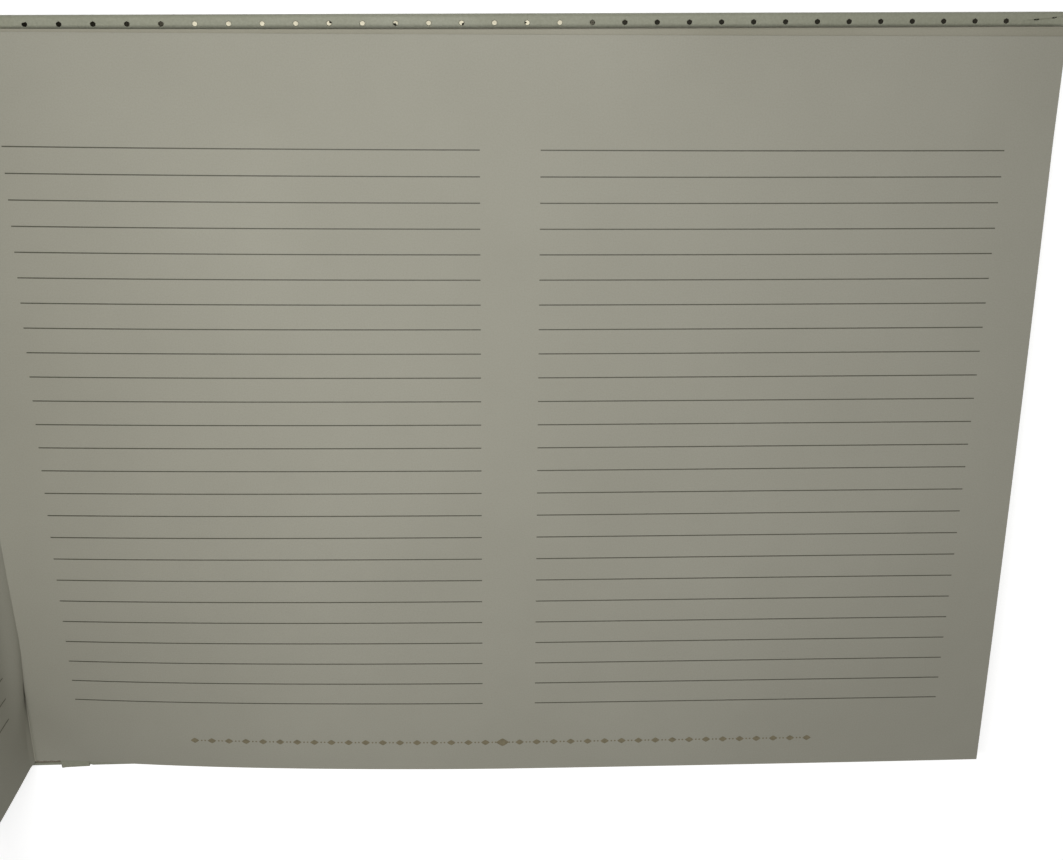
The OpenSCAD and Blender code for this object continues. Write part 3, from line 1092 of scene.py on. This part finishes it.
def make_cover(half):
    """Cover material and foil of one cover."""
    ring = ring_part((BOARD_X, -COVER_HALF), (COVER_X, COVER_HALF), COVER_CORNER_R,
                     edge_profile(EDGE_OUTER_R, EDGE_INNER_R, TURN_Z, EDGE_INNER_R))
    dotted = [outer_face(3), strip_along_x(1, 5), strip_along_x(-1, 6), strip_along_y(7)]
    skins = [ring, hinge_land(), corner_patch(1), corner_patch(-1)] + [face[0] for face in dotted]
    skin = make_piece(f"{half}_cover_material", joined(skins), half, cover_paper)
    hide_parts(f"{half}_cover_skin")
    foils = [face[1] for face in dotted] + [pinched_dots(1), pinched_dots(-1)]
    dots = make_piece(f"{half}_cover_foil_dots", joined(foils), half, foil, smooth=False)
    for piece in (skin, dots):
        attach(piece, f"{half}_cover")


make_cover("back")
make_cover("front")

# %% [markdown]
# ## The joints
#
# Between the board and the spine the cover material dips into a groove.  Its
# section is a closed outline: it leaves the board's edge in a hollow curve, runs
# level, and rolls round the hinge axis in a bead.  The outline is extruded from
# tail to head.

# %% Make the joints
GROOVE_R = 0.75
JOINT_LAP = 0.45        # how far the joint reaches into the board's edge


def joint_outline():
    """Section of the joint, clockwise from the board: hollow curve, level underside, bead, and back."""
    hollow = quarter((BOARD_X - GROOVE_R, JOINT_LOW - GROOVE_R), GROOVE_R, 0, 90)
    bead = quarter((0.0, AXIS_Z), BEAD_R, -42, -318, 18)
    back = np.array([[BOARD_X + JOINT_LAP, AXIS_Z + 0.02], [BOARD_X + JOINT_LAP, JOINT_LOW - GROOVE_R]])
    return np.concatenate([hollow, bead, back])


def extruded(outline, low, high, steps=3):
    """A closed outline in x and z carried from tail to head, with its two ends filled."""
    count = len(outline)
    y = np.linspace(low, high, steps)
    grid = np.empty((count, steps, 3))
    grid[..., 0], grid[..., 1], grid[..., 2] = outline[:, :1], y, outline[:, 1:]
    quads = grid_faces(count, steps, True)
    middle = outline.mean(0)
    centres = np.array([[middle[0], low, middle[1]], [middle[0], high, middle[1]]])
    ring = np.arange(count) * steps
    first = fan_faces(ring, count * steps)
    last = fan_faces(ring + steps - 1, count * steps + 1)[:, [1, 0, 2]]
    points = np.concatenate([grid.reshape(-1, 3), centres])
    return points, quads, np.concatenate([first, last]), points[:, [0, 1]]


joint_section = joint_outline()
for half in ("back", "front"):
    part = extruded(joint_section, -COVER_HALF, COVER_HALF)
    piece = make_piece(f"{half}_joint_material", part, half, cover_paper)
    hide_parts(f"{half}_joint_skin")
    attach(piece, f"{half}_cover")

# %% [markdown]
# ## The spine
#
# The spine's case is a narrow board in the same dotted material.  It uses the
# same two tools as the covers, a ring round a rectangle and a dotted face, but
# they are laid along the spine, where s takes the place of x and height is
# measured inwards from the outer face.  Its two edges reach under the beads of
# the joints, so nothing shows through between them.

# %% Make the spine
SPINE_OUT = 2.8
SPINE_IN = 0.8
SPINE_EDGE = 0.1
SPINE_CORNER_R = 0.9
SPINE_OUTER_R = 0.8
SPINE_INNER_R = 0.3
SPINE_LAND = 1.0


def laid_on_spine(part):
    """A part drawn as (s, y, height from the outer face), moved to the spine and wound to suit."""
    points, quads, triangles, uvs = part
    x, z = on_spine(points[:, 0], SPINE_OUT - points[:, 2])
    placed = np.stack([x, points[:, 1], z], 1)
    return placed, quads[:, ::-1], triangles[:, ::-1], uvs


def spine_case():
    """Edges and dotted outer face of the spine."""
    s0, s1 = SPINE_EDGE, SPINE_S - SPINE_EDGE
    profile = edge_profile(SPINE_OUTER_R, SPINE_INNER_R, SPINE_OUT - SPINE_IN, SPINE_LAND)
    ring = ring_part((s0, -COVER_HALF), (s1, COVER_HALF), SPINE_CORNER_R, profile)
    s_dots = SPINE_S / 2 + np.array([-0.5, 0.5]) * DOT_PITCH
    s_edges = np.array([s0 + SPINE_OUTER_R, SPINE_S / 2, s1 - SPINE_OUTER_R])
    reach = COVER_HALF - SPINE_OUTER_R
    y_dots, y_edges = cells_along(-reach, reach, -12.5 * DOT_PITCH)
    skin, dots = dotted_face(s_edges, y_edges, s_dots, y_dots, 0.0, -1, 11)
    return joined([laid_on_spine(ring), laid_on_spine(skin)]), laid_on_spine(dots)


case_part, case_dots = spine_case()
spine_material = make_piece("spine_material", case_part, "back", cover_paper)
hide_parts("spine_skin")
spine_dots = make_piece("spine_foil_dots", case_dots, "back", foil, smooth=False)
for piece in (spine_material, spine_dots):
    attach(piece, "spine")

# %% [markdown]
# ## Headbands
#
# A headband is a strip of cloth with a corded edge, wound in two near colours,
# that finishes the head and the tail of the sewn backs.  Only its cord shows, so
# only the cord is made: its section is a circle that swells under each turn of
# the thread.

# %% Make the headbands
BAND_R = 0.45
BAND_D = -0.5
BAND_POINTS = 18
THREAD_PITCH = 0.55
THREAD_RISE = 0.05


def headband_part(side):
    """The cord: radius plus a small cosine of its length, as if wound with thread, and capped ends."""
    s0, s1 = ROOT_S + 0.2, SPINE_S - ROOT_S - 0.2
    s = np.linspace(s0, s1, 241)[:, None]
    angle = (np.arange(BAND_POINTS) / BAND_POINTS * 2 * math.pi)[None]
    turn = 2 * math.pi * s / THREAD_PITCH + angle
    cap = np.sqrt(np.clip(1 - ((s - SPINE_S / 2) / (s1 - s0) * 2) ** 40, 0, 1))
    radius = (BAND_R - THREAD_RISE + THREAD_RISE * np.cos(turn)) * cap
    depth = BAND_D + radius * np.cos(angle)
    y = side * (HALF_H + BAND_R + radius * np.sin(angle))
    x, z = on_spine(s + 0 * angle, depth)
    grid = np.stack([x, y, z], 2)
    quads = grid_faces(*grid.shape[:2])
    closing = quads.reshape(grid.shape[0] - 1, grid.shape[1] - 1, 4)[:, -1]
    back_round = BAND_POINTS - 1
    seam = np.stack([closing[:, 3], closing[:, 2], closing[:, 2] - back_round, closing[:, 3] - back_round], 1)
    quads = np.concatenate([quads, seam])
    quads = quads[:, ::-1] if side > 0 else quads
    uv = np.stack([s + 0 * angle, angle * BAND_R + 0 * s], 2).reshape(-1, 2)
    return grid.reshape(-1, 3), quads, NO_TRIANGLES, uv


def headband_material():
    """Two colours of thread in even bands along the cord, read from the UV map."""
    made, tree, shader = new_material("headband thread", 0.55, Sheen_Weight=0.3)
    where = surface_coordinates(tree, True)
    bands = add_node(tree, "ShaderNodeTexWave", {"Scale": 160.0, "Distortion": 0.4}, wave_profile="SIN")
    tree.links.new(where, bands.inputs["Vector"])
    pale, brown = from_srgb(158, 154, 136), from_srgb(128, 121, 98)
    colour = ramp(tree, bands.outputs["Fac"], [(0.45, pale), (0.55, brown)])
    tree.links.new(colour, shader.inputs["Base Color"])
    bump(tree, shader, noise(tree, where, 5200.0), 0.4, 0.00003)
    return made


band_thread = headband_material()
for name, side in (("head_band", 1), ("tail_band", -1)):
    piece = make_piece(f"{name}_cord", headband_part(side), "back", band_thread)
    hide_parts(name)
    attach(piece, "spine")

# %% [markdown]
# ## Finishes on the construction
#
# The remaining pieces keep the shape that the construction gives them, because
# that shape is right: boards, linings, tapes and the backs of the sections.
# Each gets its own finish.  The lining and the tapes are woven, so their finish
# is two crossed sets of threads.  The boards are grey, and the backs of the
# sections are plain paper.

# %% Materials of the construction
def woven_material(name, light, dark, threads):
    """Open weave: two crossed waves, threads to a metre, shade the colour and bend the normal."""
    made, tree, shader = new_material(name, 0.9, Sheen_Weight=0.15)
    where = surface_coordinates(tree, False)
    waves = []
    for direction in ("Y", "DIAGONAL"):
        wave = add_node(tree, "ShaderNodeTexWave", {"Scale": threads / 20, "Distortion": 0.3},
                        bands_direction=direction)
        tree.links.new(where, wave.inputs["Vector"])
        waves.append(wave.outputs["Fac"])
    crossed = combined(tree, "MULTIPLY", *waves)
    tree.links.new(ramp(tree, crossed, [(0.1, dark), (0.5, light)]), shader.inputs["Base Color"])
    bump(tree, shader, crossed, 0.5, 0.0001)
    return made


mull_cloth = woven_material("mull cloth", from_srgb(186, 181, 165), from_srgb(140, 133, 115), 2200.0)
tape_cloth = woven_material("linen tape", from_srgb(165, 155, 127), from_srgb(122, 111, 85), 3600.0)
finish_of = {"mull_lining": mull_cloth, "paper_lining": grey_board, "spine_board": grey_board,
             "spine_liner": still_paper}
for half in ("back", "front"):
    finish_of[f"{half}_board"] = grey_board
    finish_of[f"{half}_joint_paper"] = still_paper
for number in range(1, 4):
    finish_of[f"sewing_tape_{number}"] = tape_cloth
for number in range(1, 2 * SECTIONS + 1):
    finish_of[f"section_back_{number}"] = still_paper
for node_name, finish in finish_of.items():
    node_object = frame["nodes"][node_name]
    node_object.data.materials.clear()
    node_object.data.materials.append(finish)
print(len(finish_of), "pieces of the construction finished")

# %% [markdown]
# ## Table and light
#
# The book lies on a plain pale table.  One long soft lamp hangs above the head of
# the first column and looks straight down, so the light falls away towards the
# fore-edge and the tail.  The flat foil dots that mirror the lamp shine, and the
# others mirror the room, which is far less bright.  The table glows only for rays
# that look at it, so its glow adds no light to the book.  The room is as white to
# such rays, and lights the book at a fifth of that level.

# %% Floor, lamp and world
TABLE_REACH = 3.0
TABLE_Z = -0.0004
ROOM_LEVEL = 0.2
LAMP_PLACE = [72.0, 92.0, 375.0]
LAMP_SIZE = (0.23, 0.05)
LAMP_WATTS = 1.08


def seen_directly(tree):
    """One for camera, glossy and transmission rays, and zero for the rays that light the book."""
    rays = add_node(tree, "ShaderNodeLightPath").outputs
    either = combined(tree, "MAXIMUM", rays["Is Camera Ray"], rays["Is Glossy Ray"])
    return combined(tree, "MAXIMUM", either, rays["Is Transmission Ray"])


def plain_floor():
    """A large square just under the book, whose glow grows with the distance from the middle."""
    mesh = bpy.data.meshes.new("table")
    corners = [(x * TABLE_REACH, y * TABLE_REACH, TABLE_Z) for x, y in ((-1, -1), (1, -1), (1, 1), (-1, 1))]
    mesh.from_pydata(corners, [], [(0, 1, 2, 3)])
    made = bpy.data.objects.new("table", mesh)
    bpy.context.collection.objects.link(made)
    surface, tree, shader = new_material("pale table", 0.75)
    shader.inputs["Base Color"].default_value = (0.80, 0.80, 0.79, 1)
    shader.inputs["Emission Color"].default_value = (1, 1, 1, 1)
    from_middle = add_node(tree, "ShaderNodeVectorMath", operation="LENGTH")
    tree.links.new(surface_coordinates(tree, False), from_middle.inputs[0])
    reach = {"From Min": 0.15, "From Max": 0.9, "To Min": 0.62, "To Max": 0.95}
    glow = add_node(tree, "ShaderNodeMapRange", reach)
    tree.links.new(from_middle.outputs["Value"], glow.inputs["Value"])
    strength = combined(tree, "MULTIPLY", glow.outputs["Result"], seen_directly(tree))
    tree.links.new(strength, shader.inputs["Emission Strength"])
    mesh.materials.append(surface)
    return made


def soft_lamp(name, place, size, watts):
    """A rectangular area lamp that looks straight down."""
    data = bpy.data.lights.new(name, "AREA")
    data.shape = "RECTANGLE"
    data.size, data.size_y = size
    data.energy = watts
    made = bpy.data.objects.new(name, data)
    made.location = place
    bpy.context.collection.objects.link(made)
    return made


plain_floor()
soft_lamp("window lamp", to_frame(LAMP_PLACE, "back"), LAMP_SIZE, LAMP_WATTS)
world = bpy.data.worlds.new("studio")
world.use_nodes = True
background = world.node_tree.nodes["Background"]
background.inputs["Color"].default_value = (1, 1, 1, 1)
level = add_node(world.node_tree, "ShaderNodeMath", {1: ROOM_LEVEL}, operation="MAXIMUM")
world.node_tree.links.new(seen_directly(world.node_tree), level.inputs[0])
world.node_tree.links.new(level.outputs[0], background.inputs["Strength"])
bpy.context.scene.world = world
bpy.context.scene.view_settings.view_transform = "Standard"
